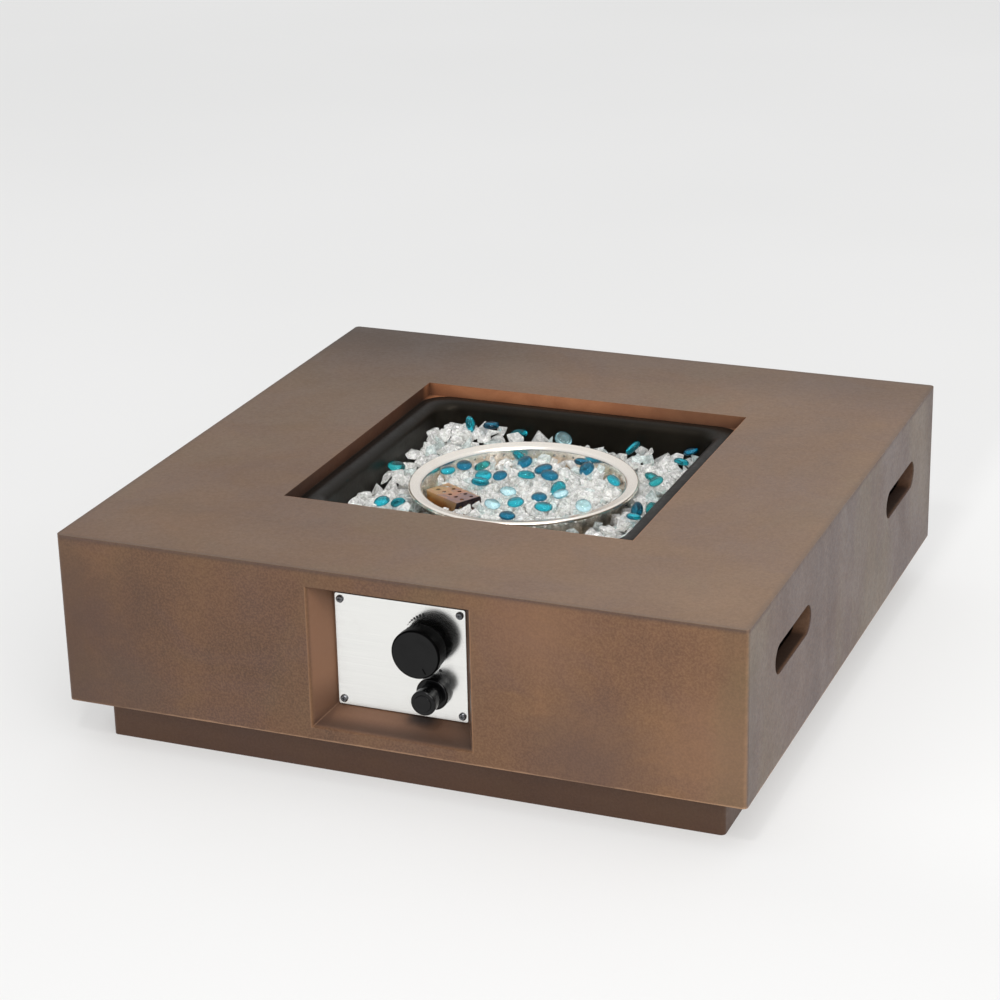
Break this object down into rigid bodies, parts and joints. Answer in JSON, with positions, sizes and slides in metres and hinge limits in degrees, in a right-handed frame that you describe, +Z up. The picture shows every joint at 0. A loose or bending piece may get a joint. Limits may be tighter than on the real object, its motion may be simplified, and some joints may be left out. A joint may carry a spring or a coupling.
{
  "type": "fire pit table",
  "caption": "Low square concrete fire pit table on a set-back plinth, with a fire pan, round burner bowl and fire glass, and a front recess with a gas knob and push-button igniter.",
  "frame": {"origin": "on the floor under the middle of the table", "axes": "+Z up, -Y towards the front with the control recess, +X to the right as seen from the front"},
  "size_m": [0.711, 0.711, 0.227],
  "materials": {
    "concrete": "satin, mottled brown stain over cast concrete",
    "zinc_steel": "zinc plated",
    "black_rubber": "matte",
    "black_enamel": "satin black high-temperature paint",
    "stainless": "brushed stainless",
    "tinted_steel": "stainless tinted by heat",
    "brass": "machined",
    "die_cast": "die cast, bead blasted",
    "tube_metal": "drawn tube",
    "copper": "drawn copper",
    "silicone_lead": "matte silicone",
    "ceramic_white": "unglazed alumina",
    "spring_steel": "drawn wire",
    "black_screw": "black oxide",
    "dial_ink": "screen-printed ink",
    "knob_plastic": "gloss black side, satin face",
    "igniter_plastic": "gloss black",
    "cell_wrap": "plain wrapped dry cell",
    "potting": "potted module",
    "seal_rubber": "matte",
    "fire_glass": "tumbled clear and blue fire glass"
  },
  "bodies": {
    "table": {"table_shell": "concrete", "plinth": "concrete", "base_brackets": "zinc_steel", "base_bracket_screws": "zinc_steel", "hose_grommet": "black_rubber", "burner_pan": "black_enamel", "burner_bowl": "stainless", "burner_ring": "stainless", "burner_lock_nut": "zinc_steel", "air_mixer": "zinc_steel", "gas_jet": "brass", "jet_elbow": "brass", "elbow_tube_nut": "brass", "gas_supply_tube": "tube_metal", "valve_tube_nut": "brass", "valve_body": "die_cast", "valve_bonnet": "zinc_steel", "bonnet_screws": "zinc_steel", "valve_panel_nut": "zinc_steel", "spindle_spring": "spring_steel", "safety_magnet": "brass", "gas_inlet_fitting": "brass", "thermocouple_nut": "brass", "thermocouple_lead": "copper", "thermocouple_probe": "tinted_steel", "spark_electrode": "ceramic_white", "electrode_rod": "tinted_steel", "ignition_lead": "silicone_lead", "lead_clips": "zinc_steel", "pilot_bracket": "stainless", "pilot_rivets": "stainless", "pilot_hood": "tinted_steel", "hood_screws": "stainless", "control_plate": "stainless", "plate_screws": "black_screw", "plate_anchors": "brass", "dial_marks": "dial_ink", "igniter_barrel": "igniter_plastic", "igniter_lock_ring": "igniter_plastic", "igniter_battery": "cell_wrap", "spark_module": "potting", "igniter_end_cap": "igniter_plastic", "fire_glass_outer": "fire_glass", "fire_glass_inner": "fire_glass"},
    "spindle_push": {"spindle_washer": "zinc_steel"},
    "knob": {"control_knob": "knob_plastic", "knob_insert": "zinc_steel", "valve_spindle": "zinc_steel"},
    "plug": {"valve_plug": "brass"},
    "igniter_seal": {"igniter_cap_seal": "seal_rubber"},
    "igniter_screw_cap": {"igniter_cap": "igniter_plastic", "igniter_spring": "spring_steel"},
    "igniter_push_button": {"igniter_button": "igniter_plastic"}
  },
  "joints": [
    {"name": "knob_push", "type": "slide", "parent": "table", "child": "spindle_push", "axis": [0, 1, 0], "range_m": [0, 0.006], "stiffness_N_per_m": 900, "springref_m": -0.004, "deforming": ["spindle_spring"]},
    {"name": "knob_turn", "type": "hinge", "parent": "spindle_push", "child": "knob", "pos_m": [0.027, -0.335, 0.1525], "axis": [0, -1, 0], "range_deg": [0, 200]},
    {"name": "plug_turn", "type": "hinge", "parent": "table", "child": "plug", "pos_m": [0.027, -0.3, 0.1525], "axis": [0, -1, 0], "range_deg": [0, 200]},
    {"name": "igniter_cap_travel", "type": "slide", "parent": "table", "child": "igniter_seal", "axis": [0, -1, 0], "range_m": [0, 0.004]},
    {"name": "igniter_cap_turn", "type": "hinge", "parent": "igniter_seal", "child": "igniter_screw_cap", "pos_m": [0.034, -0.345, 0.1035], "axis": [0, -1, 0], "range_deg": [0, 720]},
    {"name": "igniter_button_press", "type": "slide", "parent": "igniter_screw_cap", "child": "igniter_push_button", "axis": [0, 1, 0], "range_m": [0, 0.0022], "stiffness_N_per_m": 700, "springref_m": -0.003, "deforming": ["igniter_spring"]}
  ],
  "couplings": [
    {"joint": "plug_turn", "follows": "knob_turn", "ratio": 1},
    {"joint": "igniter_cap_travel", "follows": "igniter_cap_turn", "m_per_rad": 0.00031831}
  ]
}
